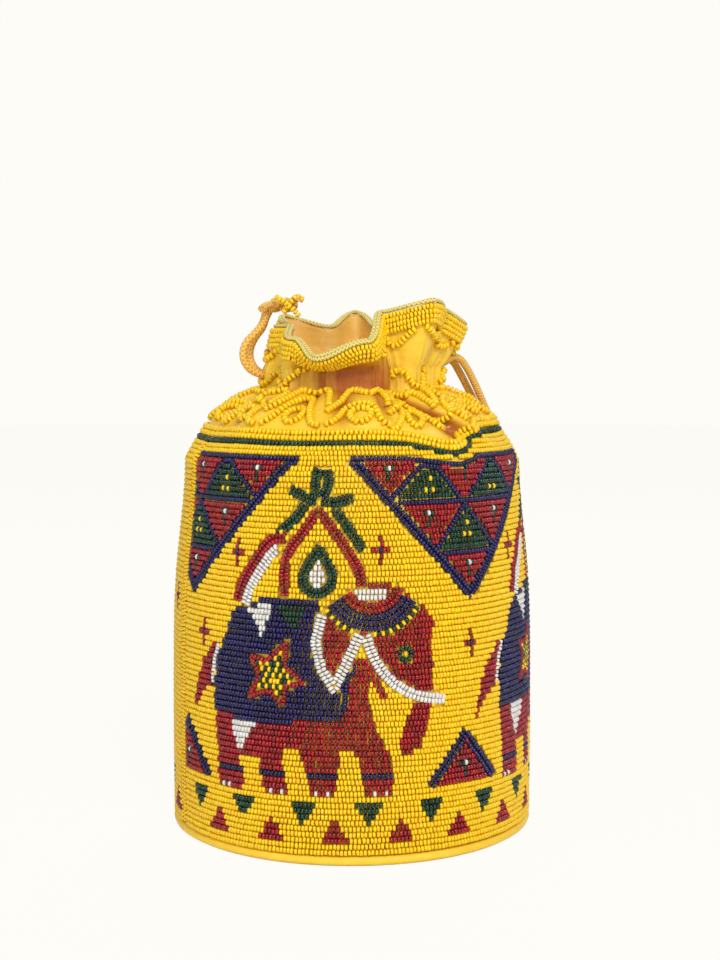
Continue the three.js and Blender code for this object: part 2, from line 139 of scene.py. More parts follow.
# %% Glass of the beads
def bead_glass(name, plain, other, shade, roughness):
    made, tree = new_material(name)
    tint = attribute(tree, "tint")
    glass = blend(tree, tint, plain, other)
    gloss = add_node(tree, "ShaderNodeMapRange", {0: tint, 3: roughness, 4: roughness + 0.18})
    return closed_with(made, "ShaderNodeBsdfPrincipled", {
        "Base Color": blend(tree, attribute(tree, "hole"), glass, shade),
        "Roughness": gloss[0], "IOR": 1.52})


GLASS = {
    # opaque egg-yellow glass, the brightest thing on the bag
    "yellow": bead_glass("opaque_yellow_bead_glass", "#FFDB0E", "#FFCC04", "#DC9800", 0.20),
    # see-through ruby glass over satin looks dark red, with pink lights
    "red": bead_glass("ruby_bead_glass", "#B41020", "#7C0B18", "#2E0306", 0.13),
    # opaque ink-blue glass
    "blue": bead_glass("ink_blue_bead_glass", "#1D165C", "#110C3A", "#050412", 0.16),
    # bottle-green glass with a silver-lined hole: dark, with bright sparks
    "green": bead_glass("bottle_green_bead_glass", "#0B4630", "#05241B", "#010C08", 0.10),
    # chalk-white glass
    "white": bead_glass("chalk_bead_glass", "#F2EFEA", "#DEDAD4", "#A8A196", 0.25),
}
print("bead glasses", sorted(GLASS))

# %% [markdown]
# Satin is woven so that long threads float on its face. It shines in soft streaks, along which
# the threads run. The real threads are 0.1 mm apart, too fine for the picture, so the weave is
# drawn at 0.5 mm. Slow noise stands for the small dents that sewing leaves in the cloth, and the
# colour turns to a deeper tone where a dent lies low: painted shade in the dents. Deep in a fold
# the light has gone from satin to satin, and is orange, and under the lip lies shade: both are
# painted into the colour as a deeper orange, and the value "fold" carries this painted shade.

# %% Satin
def satin_cloth(name, plain, fold, deep, sheen):
    made, tree = new_material(name)
    place = add_node(tree, "ShaderNodeTexCoord", {})["Object"]
    dents = add_node(tree, "ShaderNodeTexNoise", {
        "Vector": place, "Scale": 160, "Detail": 3})["Fac"]
    threads = add_node(tree, "ShaderNodeTexWave", {
        "bands_direction": "Z", "Vector": place, "Scale": 100, "Distortion": 2.5,
        "Detail Scale": 60})["Fac"]
    height = add_node(tree, "ShaderNodeMix", {0: 0.75, 2: threads, 3: dents})
    bump = add_node(tree, "ShaderNodeBump", {
        "Height": height[0], "Strength": 0.5, "Distance": 0.0006})
    # Base colour: painted shade, a deeper tone in low dents and deep orange where "fold" is high
    return closed_with(made, "ShaderNodeBsdfPrincipled", {
        "Base Color": blend(tree, attribute(tree, "fold"), blend(tree, dents, fold, plain), deep),
        "Normal": bump[0], "Roughness": 0.42, "Sheen Weight": sheen, "Sheen Roughness": 0.4,
        "Sheen Tint": linear("#FFE9A8")})


bag_satin = satin_cloth("golden_satin", "#FFDE42", "#FAC520", "#B8640E", 0.25)
lining_satin = satin_cloth("dull_gold_lining_satin", "#F8CC68", "#DDA644", "#B97A22", 0.15)
print("satins", bag_satin.name, lining_satin.name)

# %% [markdown]
# The drawstrings are braided rayon cord, 3.2 mm thick. The strands cross at a slant, once in
# about 2 mm. A braid is two sets of slanting bands, so two waves are drawn on the cord's own UV
# map, which holds metres along the cord and the turn around it, and the higher one wins. Where
# the bands lie low the colour is darker: painted shade in the grooves between the strands.

# %% Braided cord and piping
def braid(name, plain, dark, pitch_mm, bands):
    made, tree = new_material(name)

    def compute(operation, first, second=0.0):
        return add_node(tree, "ShaderNodeMath", {"operation": operation, 0: first, 1: second})[0]

    uv = add_node(tree, "ShaderNodeUVMap", {"uv_map": "UVMap"})
    parts = add_node(tree, "ShaderNodeSeparateXYZ", {0: uv[0]})
    along = compute("MULTIPLY", parts[0], 2 * math.pi / (pitch_mm * MM))
    turn = compute("MULTIPLY", parts[1], 2 * math.pi * bands)
    over = compute("MAXIMUM", *[compute("SINE", compute(way, along, turn))
                                for way in ("ADD", "SUBTRACT")])
    height = add_node(tree, "ShaderNodeMapRange", {0: over, 1: -0.6, 2: 1.0})[0]
    bump = add_node(tree, "ShaderNodeBump", {
        "Height": height, "Strength": 0.6, "Distance": 0.0006})
    # Base colour darker where the bands lie low: painted shade in the grooves
    return closed_with(made, "ShaderNodeBsdfPrincipled", {
        "Base Color": blend(tree, height, dark, plain), "Normal": bump[0], "Roughness": 0.55,
        "Sheen Weight": 0.3, "Sheen Tint": linear("#FFE2A0")})


cord_braid = braid("golden_braided_cord", "#FFCE62", "#DFA038", 1.8, 3)
pale_piping = braid("pale_olive_piping_cord", "#F3E48C", "#C8AE3E", 1.4, 2)

# %% [markdown]
# A cord is a curve with a round section, turned into a mesh so that its UV map can be scaled to
# metres. Its points repeat those of the model, so it lies exactly where the model's cord lies.

# %% A cord through its points
def cord_mesh(name, strands, radius, steps=6, closed=False):
    curve = bpy.data.curves.new(name, "CURVE")
    curve.dimensions = "3D"
    curve.bevel_depth = radius
    curve.bevel_resolution = 3
    curve.resolution_u = steps
    curve.use_fill_caps = not closed
    lengths = []
    for points in strands:
        spline = curve.splines.new("BEZIER")
        spline.bezier_points.add(len(points) - 1)
        for knot, place in zip(spline.bezier_points, points):
            knot.co = place
            knot.handle_left_type = knot.handle_right_type = "AUTO"
        spline.use_cyclic_u = closed
        lengths.append(spline.calc_length())
    holder = bpy.data.objects.new(name, curve)
    mesh = bpy.data.meshes.new_from_object(holder)
    mesh.name = name
    bpy.data.objects.remove(holder)
    uv = mesh.uv_layers["UVMap"].data
    for corner in uv:
        corner.uv = (corner.uv[0] * max(lengths), corner.uv[1])
    return mesh, lengths


def metres(points):
    return [Vector(p) * MM for p in points]


# %% [markdown]
# A potli closes with two drawstrings that run in opposite ways around the neck. Each comes out
# of the casing on one side and is knotted there. The left one shows as a short loop up to its
# knot on the rim. The right one bends over the shoulder and hangs down at the back.

# %% The drawstrings
LEFT_FRONT = metres([
    (-31.5, 1.8, 185.6), (-36, 1.4, 185.4), (-40.8, 0.2, 186.2), (-44.4, -1, 189.2),
    (-46, -1.4, 193.6), (-44.8, -1, 198.6), (-41.4, 0, 202.6), (-38.6, 1.4, 206),
    (-37.2, 2.6, 209.6), (-36.8, 3.8, 213.2)])
LEFT_BACK = metres([
    (-30.9, 6.6, 185.6), (-35.2, 7.6, 185.2), (-39.6, 9.2, 186.4), (-43, 11.4, 190),
    (-44, 13.2, 195.2), (-42.2, 14.2, 200.6), (-38.8, 14, 205.4), (-37, 12.8, 210),
    (-35, 11, 213.6)])
RIGHT_OUTER = metres([
    (31.5, 1.8, 189.4), (36.2, 2.4, 189.4), (39.8, 3.6, 191), (42.6, 5, 192.8), (45.8, 7, 192.2),
    (48.8, 9.4, 188.8), (51.8, 11.8, 183.6), (54.8, 14.6, 177.4), (58, 18.6, 170.6),
    (61.4, 26.4, 162.8), (62.4, 36, 155.6), (59.4, 46.4, 147), (56.8, 53.2, 136),
    (55, 56.4, 120), (54.4, 57, 100), (54.4, 57, 76), (54.8, 57.4, 53.2)])
RIGHT_INNER = metres([
    (31, 6.4, 189.4), (35.2, 6.8, 189.6), (38.2, 7.8, 191.2), (40.8, 9.4, 192.2),
    (43.4, 11.4, 190.8), (46, 13.8, 187), (49, 16.4, 181.6), (52, 19.4, 176), (55, 23.2, 170.2),
    (58.2, 29.4, 165), (60.2, 38.2, 158.2), (57.2, 48.8, 149.4), (54.2, 55.8, 137.4),
    (52, 59.2, 120.4), (51.2, 60, 100), (51.2, 60, 76), (51, 60.4, 53.2)])
CORD = 3.2 * MM
KNOT_RADIUS, KNOT_STRAND = 3.4, 1.5  # mm
RING_RADIUS = 27.5 * MM
FRONT_DROOP, DROOP_ANGLE = 3.8, -8  # mm, and degrees around from the middle of the front


def mix(a, b, share):
    return a + (b - a) * share


def ease(x, low, high):
    t = np.clip((x - low) / (high - low), 0, 1)
    return t * t * (3 - 2 * t)


def droop(angle):
    """How many mm the neck hangs lower at this angle in degrees: most at the front."""
    return FRONT_DROOP * ease(np.cos(np.radians(angle - DROOP_ANGLE)), 0.1, 1)


def join_meshes(name, *meshes):
    made = bmesh.new()
    for mesh in meshes:
        made.from_mesh(mesh)
    return mesh_of(name, made)


def make_knot(name, at, tails, upright=None):
    """The three-lobed knot goes twice around; upright turns it against the side of the bag."""
    loop = []
    for i in range(30):
        u = 4 * math.pi * i / 30
        out = KNOT_RADIUS * (2 + math.cos(1.5 * u)) / 2
        place = Vector((out * math.cos(u), out * math.sin(u), KNOT_RADIUS / 2 * math.sin(1.5 * u)))
        if upright is not None:
            place = Matrix.Rotation(math.radians(upright), 3, "Z") @ Vector(
                (place.x, -place.z, place.y))
        loop.append((place + Vector(at)) * MM)
    ring, _ = cord_mesh(name + "_loop", [loop], KNOT_STRAND * MM, 3, closed=True)
    rest, _ = cord_mesh(name + "_tails", [metres(tail) for tail in tails], CORD / 2)
    made = piece_of(name, join_meshes(name, ring, rest), cord_braid)
    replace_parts(made, "drawstring_" + name)
    return made


left_knot = make_knot("left_knot", (-29.6, 6, 215), [
    [(-33, 3, 215.2), (-36, -2, 214.6), (-38, -6, 213)],
    [(-27, 5, 215.6), (-24.6, 1, 217), (-22.6, -2.4, 218)]])
right_knot = make_knot("right_knot", (57, 58.4, 47), [
    [(57.6, 56.8, 43), (58, 56.8, 34), (57.8, 56.6, 27)],
    [(54.4, 59.8, 43), (53.6, 60.6, 34), (53.6, 60.4, 26)]], upright=135.7)

for name, path, knotted, lay in (
        ("left_front_strand", LEFT_FRONT, left_knot, "loose"),
        ("left_back_strand", LEFT_BACK, None, "loose"),
        ("right_outer_strand", RIGHT_OUTER, right_knot, "hanging"),
        ("right_inner_strand", RIGHT_INNER, None, "hanging")):
    mesh, lengths = cord_mesh(name, [path], CORD / 2)
    strand = piece_of(name, mesh, cord_braid)
    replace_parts(strand, "drawstring_" + name)
    print(name, round(lengths[0], 4), "m")

for side, height in (("left", 185.9 * MM), ("right", 189.7 * MM)):
    ring = [Vector((RING_RADIUS * math.sin(a), -RING_RADIUS * math.cos(a),
                    height - droop(math.degrees(a)) * MM))
            for a in (2 * math.pi * i / 24 for i in range(24))]
    mesh, _ = cord_mesh(side + "_ring", [ring], CORD / 2, closed=True)
    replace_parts(piece_of(side + "_ring", mesh, cord_braid), f"drawstring_{side}_ring")

# %% [markdown]
# The whole bag is one formula. A point of the cloth has a place around the bag, counted in folds
# from 0 to 16, and a level: 0 at the base, 1 at the edge of the shoulder, 2 and 3 at the lower
# and upper end of the casing, and 4 at the rim. Cloth, lining and every bead use this formula, so
# they stay together. It repeats the model's, and adds creases and fine gathers, which are too
# small for the model.

# %% The surface of the bag
# angle at the neck and at the rim, radius of the rim, height of the rim above the neck
FOLDS = np.array([
    [-43, -37, 40, 11], [-20, -19, 43, 3], [12, 9, 43.5, 9.6], [31, 26, 29, 22],
    [47, 48, 45.5, 26.4], [67, 72, 41, 23], [90, 92, 48, 17.5], [110, 112, 31, 19],
    [132, 134, 44, 22.5], [153, 156, 30, 17], [176, 178, 43, 23.5], [198, 200, 30, 17],
    [222, 224, 44, 21.5], [246, 246, 30, 15.5], [268, 268, 33, 16.5], [292, 294, 29.5, 16.6]])
TURN = len(FOLDS)
# Heights and radii in mm: foot and edge of the side, lower and upper end of the casing
FOOT, EDGE, NECK, NECK_TOP = 3.9, 150, 183.5, 192.1
BODY_RADIUS, FOOT_INSET, TOP_INSET = 75, 0.4, 4.6
NECK_RADIUS, NECK_FOLD, FOLD_SAG = 37.8, 6.2, 0.35
SHOULDER = np.array([[70.4, 150], [66.4, 163], [47.3, 181.5], [37.8, 183.5]])


def fold_values(place):
    place = np.asarray(place, float) % TURN
    index = np.floor(place).astype(int)
    after = (index + 1) % TURN
    share = place - index
    wave = (1 - np.cos(np.pi * share)) / 2
    turn = np.where(index + 1 == TURN, 360, 0)
    a, b = FOLDS[index], FOLDS[after]
    return {
        "crest": np.where(index % 2 == 0, 1 - wave, wave), "low": -45 + place * 360 / TURN,
        "neck": mix(a[..., 0], b[..., 0] + turn, share),
        "rim": mix(a[..., 1], b[..., 1] + turn, share),
        "rim_radius": mix(a[..., 2], b[..., 2], wave), "rise": mix(a[..., 3], b[..., 3], wave)}


# Slanting creases: place where each starts, place where it meets the neck, start level,
# depth in mm and half its width in folds. The fifth one is the deep fold on the right.
CREASES = np.array([
    [15.2, 0.2, 1.26, 4.4, 0.20], [0.75, 0.9, 1.36, 3.6, 0.14], [1.75, 1.5, 1.30, 4.4, 0.15],
    [2.75, 2.15, 1.36, 3.0, 0.12], [4.7, 2.7, 1.12, 7.0, 0.22], [3.6, 2.4, 1.30, 3.6, 0.12],
    [5.6, 4.3, 1.26, 4.6, 0.19], [7.2, 6.4, 1.30, 4.4, 0.20], [8.3, 8.9, 1.34, 3.6, 0.16],
    [9.6, 10.0, 1.28, 4.4, 0.20], [11.1, 10.7, 1.36, 3.4, 0.16], [12.2, 12.7, 1.28, 4.2, 0.20],
    [13.4, 13.3, 1.38, 3.6, 0.16], [14.4, 14.9, 1.32, 4.0, 0.18]])


def creases(place, level):
    """How far the slanting creases move the cloth, and how deep a point lies in one, in mm."""
    moved, sunk = 0, 0
    for start, end, low, depth, width in CREASES:
        apart = (np.asarray(place) - mix(start, end if abs(end - start) < 8 else end + TURN,
                                         ease(level, low - 0.3, 2)) + TURN / 2) % TURN - TURN / 2
        here = depth * ease(level, low, low + 0.3) * (1 - 0.75 * ease(level, 1.7, 2.1)) * (
            1 - ease(level, 2.9, 3.4))
        valley = here * np.exp(-np.abs(apart / width) ** 1.5)
        moved = moved - valley + 0.3 * here * np.exp(-((np.abs(apart) - 1.9 * width) / width) ** 2)
        sunk = sunk + valley
    return moved, sunk


def under_lip(place, level):
    """1 on the front of the neck, in the shade of the lip, and 0 elsewhere."""
    away = (np.asarray(place) - 1.7 + TURN / 2) % TURN - TURN / 2
    return np.exp(-(away / 1.2) ** 2) * ease(level, 1.7, 2.05) * (1 - ease(level, 2.8, 3.7))


def gathers(place, level):
    """Pleats that the drawstrings pull into the cloth: narrow ones at the neck, and creases."""
    around = 2 * np.pi * np.asarray(place) / TURN
    fine_pleats = 1 - 1.6 * np.abs(np.sin(20 * around + 1.3 * np.sin(5 * around)))
    pleats = 0.7 * fine_pleats + 0.35 * np.sin(67 * around)
    made = pleats * ease(level, 1.45, 2) * (1 - ease(level, 3, 3.7))
    return made + creases(place, level)[0]


def shoulder_curve(t):
    """Radius and height on the way from the edge, where t is 0, to the neck, where it is 1."""
    weights = ((1 - t) ** 3, 3 * t * (1 - t) ** 2, 3 * t * t * (1 - t), t ** 3)
    return sum(w[..., None] * p for w, p in zip(weights, SHOULDER))


def skin(place, level):
    place, level = np.broadcast_arrays(np.asarray(place, float), np.asarray(level, float))
    f = fold_values(place)
    t = np.clip(level - 1, 0, 1)
    side_radius = BODY_RADIUS - FOOT_INSET * (1 - ease(level, 0, 0.3)) - (
        TOP_INSET * ease(level, 0.4, 1) ** 2)
    side_height = mix(FOOT, EDGE, np.clip(level, 0, 1))
    curve = shoulder_curve(t)
    depth = NECK_FOLD * ease(t, 0.05, 0.7) * (1 - f["crest"])
    up = np.clip(level - 3, 0, 1)
    neck = NECK_RADIUS - NECK_FOLD * (1 - f["crest"])
    radius = np.where(level <= 1, side_radius, np.where(
        level <= 2, curve[..., 0] - depth, mix(neck, f["rim_radius"], up ** 0.75)))
    height = np.where(level <= 1, side_height, np.where(
        level <= 2, curve[..., 1] - FOLD_SAG * depth * (1 - t),
        mix(NECK, NECK_TOP, np.clip(level - 2, 0, 1)) + f["rise"] * up))
    angle = np.radians(np.where(level <= 2, mix(f["low"], f["neck"], t),
                                mix(f["neck"], f["rim"], up)))
    radius = radius + gathers(place, level) - 6 * f["crest"] * under_lip(place, level)
    height = height - droop(angle) * ease(level, 1.3, 2)
    return np.stack([radius * np.sin(angle), -radius * np.cos(angle), height], axis=-1)


def outward(place, level):
    step = 0.012
    level = np.asarray(level, float)
    along = skin(place + step, level) - skin(place - step, level)
    up = skin(place, np.minimum(level + step, 4)) - skin(place, np.maximum(level - step, 0))
    square = np.cross(along, up)
    return square / np.linalg.norm(square, axis=-1, keepdims=True)


def off_skin(place, level, offset):
    return skin(place, level) + outward(place, level) * np.asarray(offset)[..., None]


print("rim point", skin(np.array([0.0]), np.array([4.0])).round(1))

# %% [markdown]
# The cloth is a grid whose corners are moved onto that surface. Its rows lie far apart on the
# straight side, which the beads hide, and close together on the gathered shoulder and collar.
# Where beads cover the cloth, it lies deeper than where it shows.

# %% Bag cloth
CLOTH_LEVELS = np.concatenate([np.linspace(0, 1, 9)[:-1], np.linspace(1, 1.2, 4)[:-1],
                               np.linspace(1.2, 2, 26)[:-1], np.linspace(2, 3, 7)[:-1],
                               np.linspace(3, 4, 13)])


def cloth_grid(name, columns, levels, point_at, depth_at=None):
    """A closed band of cloth: a flat grid, rolled up by point_at(place, level) in mm."""
    made = bmesh.new()
    bmesh.ops.create_grid(made, x_segments=columns, y_segments=len(levels) - 1, size=1)
    flat = np.array([v.co for v in made.verts])
    share = (flat - flat.min(axis=0))[:, :2] / (flat.max(axis=0) - flat.min(axis=0))[:2]
    level = np.interp(share[:, 1], np.linspace(0, 1, len(levels)), levels)
    for vertex, place in zip(made.verts, point_at(share[:, 0] * TURN, level) * MM):
        vertex.co = place
    if depth_at:
        fold = made.verts.layers.float.new("fold")
        for vertex, value in zip(made.verts, depth_at(share[:, 0] * TURN, level)):
            vertex[fold] = value
    for vertex, place in zip(made.verts, point_at(share[:, 0] * TURN, level) * MM):
        vertex.co = place
    if depth_at:
        fold = made.verts.layers.float.new("fold")
        for vertex, value in zip(made.verts, depth_at(share[:, 0] * TURN, level)):
            vertex[fold] = value
    bmesh.ops.remove_doubles(made, verts=made.verts, dist=1e-6)
    made.normal_update()
    outer = sum(f.normal.dot(Vector((f.calc_center_median().x, f.calc_center_median().y, 0)))
                for f in made.faces)
    if outer < 0:
        bmesh.ops.reverse_faces(made, faces=made.faces)
    return mesh_of(name, made)


def thicken(piece, thickness, way):
    wall = piece.modifiers.new("cloth thickness", "SOLIDIFY")
    wall.thickness, wall.offset = thickness, way


def cloth_offset(level):
    return -1.85 + 1.5 * ease(level, 1.3, 1.42)


# The value "fold" paints shade into the satin: deeper orange in the creases and under the lip.
bag_cloth = piece_of("bag_cloth", cloth_grid(
    "bag_cloth", 400, CLOTH_LEVELS, lambda p, l: off_skin(p, l, cloth_offset(l)),
    lambda p, l: np.clip(creases(p, l)[1] / 3.4 + under_lip(p, l), 0, 1)),
    bag_satin)
thicken(bag_cloth, 0.5 * MM, -1)
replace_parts(bag_cloth, "beaded_bag")
print("bag cloth", len(bag_cloth.data.polygons), "faces")

# %% [markdown]
# The lining hangs inside the cloth. At the neck the two drawstrings run between them, so the
# lining passes inside their rings. Its floor lies on the card that stiffens the base.

# %% Lining
FLOOR = 6.4


def lining_point(place, level):
    ease_in = mix(1.0, 0.45, ease(level, 3.4, 4))
    on_cloth = off_skin(place, level, -1.5 + 0.5 * np.clip(level - 3, 0, 1) - ease_in)
    f = fold_values(place)
    in_casing = 25.3 - (1 - f["crest"]) * NECK_FOLD / 2 + gathers(place, level) * 0.6
    angle = np.radians(f["neck"])
    at_neck = np.stack([in_casing * np.sin(angle), -in_casing * np.cos(angle),
                        on_cloth[..., 2]], axis=-1)
    share = ease(level, 1.55, 2) * (1 - ease(level, 3, 3.5))
    made = mix(on_cloth, at_neck, share[..., None])
    made[..., 2] = np.where(level < 0.03, FLOOR, made[..., 2])
    return made


LINING_LEVELS = np.concatenate([
    [0.02, 0.5, 1], np.linspace(1.15, 2, 10), np.linspace(2.25, 4, 22)])
lining = cloth_grid("lining", 256, LINING_LEVELS, lining_point)
floor_edit = bmesh.new()
floor_edit.from_mesh(lining)
bmesh.ops.reverse_faces(floor_edit, faces=floor_edit.faces)
low = [e for e in floor_edit.edges if e.is_boundary and e.verts[0].co.z < (FLOOR + 1) * MM]
bmesh.ops.holes_fill(floor_edit, edges=low)
floor_edit.to_mesh(lining)
floor_edit.free()
lining = piece_of("lining_cloth", lining, lining_satin)
thicken(lining, 0.4 * MM, 1)
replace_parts(lining, "lining")
print("lining", len(lining.data.polygons), "faces")

# %% [markdown]
# The rim is bound with two thin pale cords, side by side. They follow the ruffles of the collar.

# %% Piping on the rim
def rim_line(offset, past):
    place = np.arange(0, TURN, 1 / 12)
    points = off_skin(place, np.full(place.shape, 4.0), np.full(place.shape, offset))
    edge_way = skin(place, 4.0) - skin(place, 3.95)
    points += past * edge_way / np.linalg.norm(edge_way, axis=1, keepdims=True)
    return [Vector(p) * MM for p in points]


outer_cord, _ = cord_mesh("outer_piping", [rim_line(-0.2, 1.1)], 0.8 * MM, 2, closed=True)
inner_cord, _ = cord_mesh("inner_piping", [rim_line(-1.7, 1.1)], 0.8 * MM, 2, closed=True)
piping = piece_of("rim_piping", join_meshes("rim_piping", outer_cord, inner_cord),
                  pale_piping)
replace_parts(piping, "mouth_binding")
print("piping", len(piping.data.polygons), "faces")

# %% [markdown]
# The base is a disc of card in satin. Its edge shows as a smooth yellow strip under the beads. It
# is spun from its half section. The card inside keeps the model's own shape.

# %% Base
base = bmesh.new()
section = [base.verts.new((x * MM, 0, z * MM)) for x, z in (
    (0, 0.3), (60, 0.3), (71, 0), (72.8, 0), (74.2, 0.8), (74.6, 1.8), (74.2, 2.8), (73.4, 3.6),
    (0, 3.6))]
edges = [base.edges.new(pair) for pair in zip(section, section[1:])]
bmesh.ops.spin(base, geom=section + edges, axis=(0, 0, 1), cent=(0, 0, 0),
               angle=2 * math.pi, steps=96, use_merge=True)
bmesh.ops.remove_doubles(base, verts=base.verts, dist=1e-6)
bmesh.ops.recalc_face_normals(base, faces=base.faces)
base_mesh = mesh_of("satin_base", base)
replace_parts(piece_of("satin_base", base_mesh, bag_satin), "base_cover")
print("base", len(base_mesh.polygons), "faces")


def grey_card():
    made, tree = new_material("grey_card")
    place = add_node(tree, "ShaderNodeTexCoord", {})["Object"]
    fibres = add_node(tree, "ShaderNodeTexNoise", {"Vector": place, "Scale": 900, "Detail": 4})
    return closed_with(made, "ShaderNodeBsdfPrincipled", {
        "Base Color": blend(tree, fibres[0], "#8F8168", "#A89A7E"), "Roughness": 0.9})


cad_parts["base_board"].data.materials.clear()
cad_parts["base_board"].data.materials.append(grey_card())

# %% [markdown]
# Beads are sewn on in strings. A string is a path on the surface: the beads are spaced along it
# by their real length, 1.5 mm, and lie 2.2 mm thick. Outlines go on first. The fill is sewn in
# level rows afterwards, and leaves out each bead for which an outline has left no room.

# %% Stringing beads
BEAD_LONG, BEAD_WIDE = 1.5, 2.2
rng = np.random.default_rng(11)
sewn = {"centre": [], "way": [], "out": [], "colour": [], "size": []}
CELL = 2.5  # mm, a little more than a bead: beads in the same or in touching cells are compared
taken = {}


def cell_of(point):
    return tuple(int(c // CELL) for c in point)


def room_for(point, room):
    x, y, z = cell_of(point)
    for i, j, k in itertools.product((-1, 0, 1), repeat=3):
        for other in taken.get((x + i, y + j, z + k), ()):
            if sum((a - b) ** 2 for a, b in zip(point, other)) < room * room:
                return False
    return True


def run_along(points):
    """How far along a line each of its points lies."""
    return np.concatenate([[0], np.cumsum(np.linalg.norm(np.diff(points, axis=0), axis=1))])


def points_at(at, run, points):
    """The points that lie at given distances along a line."""
    return np.stack([np.interp(at, run, points[:, i]) for i in range(points.shape[1])], axis=-1)


def add_bead(centre, way, out, colour, size):
    for key, value in zip(sewn, (centre, way, out, colour, size)):
        sewn[key].append(value)


def sew(place, level, colour, size=1.0, lift=0.8, room=1.5):
    """Strings beads along a path, with their middles lift mm above the cloth. The colour is
    a name, a list to repeat, or a function of the place."""
    path = off_skin(place, level, cloth_offset(level) + lift)
    run = run_along(path)
    count = max(int(round(run[-1] / (BEAD_LONG * size))), 1)
    ends = np.cumsum(np.concatenate([[0], rng.uniform(0.9, 1.1, count)]))
    at = (ends[1:] + ends[:-1]) / 2 * run[-1] / ends[-1]
    p, l = np.interp(at, run, place), np.interp(at, run, level)
    centre = off_skin(p, l, cloth_offset(l) + lift)
    way = points_at(at + 0.4, run, path) - points_at(at - 0.4, run, path)
    out = outward(p, l)
    if callable(colour):
        names = colour(p, l)
    else:
        names = [colour] * count if isinstance(colour, str) else [
            colour[i % len(colour)] for i in range(count)]
    kept = [i for i in range(count) if names[i] and room_for(centre[i], room)]
    for i in kept:
        add_bead(centre[i], way[i], out[i], names[i], size)
        taken.setdefault(cell_of(centre[i]), []).append(centre[i])


# %% [markdown]
# The motifs are drawn on the unrolled side: millimetres around the bag from the middle of the
# front, and millimetres up. Above the shoulder's edge the height goes on along the cloth. More
# helpers round a line, move it sideways for a double string, or tell what lies in an outline.

# %% Drawing on the unrolled bag
def arc(degrees):
    """An angle around the bag as millimetres along it."""
    return math.radians(degrees) * BODY_RADIUS


t_fine = np.linspace(0, 1, 200)
climb = run_along(shoulder_curve(t_fine))
SEAM, AROUND = arc(-66), 2 * math.pi * BODY_RADIUS
REPEAT_ANGLE = 97.3  # from one motif to the next of its kind


def to_surface(along, height):
    along, height = np.asarray(along, float), np.asarray(height, float)
    place = (np.degrees(along / BODY_RADIUS) + 45) * TURN / 360
    share = np.interp(height - EDGE, climb, t_fine)
    return place, np.where(height <= EDGE, (height - FOOT) / (EDGE - FOOT), 1 + share)


def from_surface(place, level):
    height = np.where(level <= 1, mix(FOOT, EDGE, level),
                      EDGE + np.interp(level - 1, t_fine, climb))
    return arc(360 / TURN) * (place - 2), height


def fine(points, step=0.4):
    """The same line with its points a step of so many mm apart."""
    points = np.asarray(points, float)
    run = run_along(points)
    return points_at(np.linspace(0, run[-1], max(int(run[-1] / step), 2)), run, points)


def rounded(points, rounds=2):
    """Cuts the corners of a line, so that it turns as softly as a thread does."""
    points = np.asarray(points, float)
    for _ in range(rounds):
        cut = [points[:1]]
        for a, b in zip(points, points[1:]):
            cut.append(np.array([mix(a, b, 0.25), mix(a, b, 0.75)]))
        points = np.concatenate(cut + [points[-1:]])
    return points


def beside(points, offset):
    """The line moved to its left by an offset in mm, or to its right below zero."""
    points = fine(points, 0.8)
    way = np.gradient(points, axis=0)
    way /= np.linalg.norm(way, axis=1, keepdims=True) + 1e-9
    return points + offset * np.stack([-way[:, 1], way[:, 0]], axis=1)


def inside(outline, x, y):
    hit = np.zeros(np.shape(x), bool)
    for (x1, y1), (x2, y2) in zip(outline, outline[1:] + outline[:1]):
        crosses = (y1 > y) != (y2 > y)
        hit ^= crosses & (x < (x2 - x1) * (y - y1) / (y2 - y1 + 1e-9) + x1)
    return hit


def string(points, colour, start=0.0, foot=0.0, **how):
    """Sews a drawn line, moved to its motif's place, as far as it keeps off the side seam."""
    line = fine(points) + np.array([start, foot])
    line = line[(line[:, 0] > SEAM + 3) & (line[:, 0] < SEAM + AROUND - 3)]
    if len(line) > 2:
        sew(*to_surface(line[:, 0], line[:, 1]), colour, **how)


print("shoulder", round(float(climb[-1]), 1), "mm along the cloth")

# %% [markdown]
# An elephant in procession is a common motif of Indian folk beadwork. It wears a saddle cloth
# with a star, a cap with a fringe, and a pointed arch with a lamp drop on its back. Heights count
# from the ground line. The outlines below are lists of corners in millimetres.

# %% Elephant
ONE_BEAD = (0.8, 1.1)  # half the place that a bead takes along its row and upwards
GROUND = 29
ELEPHANT_AT = [arc(-14) + i * arc(REPEAT_ANGLE) for i in range(3)]
TAIL = [(-40.4, 53.6), (-45, 49.4), (-50, 43.6), (-53.6, 35.6), (-56, 23.4), (-50.6, 30),
        (-45.4, 35), (-42.2, 38), (-41.4, 46)]
BODY = [(-41.8, 27), (-40.9, 24.7), (-39.4, 4.1), (-39.4, -3.2), (-27, -3.2), (-26, 0.8),
        (-27.7, 7.9), (-27.7, 10.4), (-19.5, 11.2), (-18.8, 9.5), (-16.5, -3.2), (-7, -3.2),
        (-8.4, 5.6), (-9.1, 12), (-8, 14.2), (-2.1, 14.8), (1.3, 6.3), (2.4, -3.2), (12.2, -3.2),
        (13.6, 6.8), (13.8, 14.8), (17.4, 15), (20.4, 13), (22.8, 6.4), (23.1, -3.2),
        (34.6, -3.2), (33.9, 9.6), (32, 16.4), (28.3, 22), (25.3, 35.3), (25.9, 41.4),
        (29.6, 34), (33.3, 35.1), (24, 50), (20.2, 50), (14.5, 27)]
HEAD = [(4.5, 67), (3.4, 55.5), (8, 44), (12, 38), (17, 48), (21, 57), (27, 48), (33, 40),
        (41, 34.6), (50.4, 32), (51.1, 43), (50.4, 49.6), (50.7, 55.7), (51.6, 62.7),
        (49.5, 66.3), (45.8, 69.5), (42, 72), (36, 77), (24, 79), (16, 72)]
TRUNK = [(42.2, 33), (40.2, 25), (36.7, 16.6), (38.5, 13.6), (42, 12.8), (45.4, 15.5),
         (48.3, 22), (50.4, 33)]
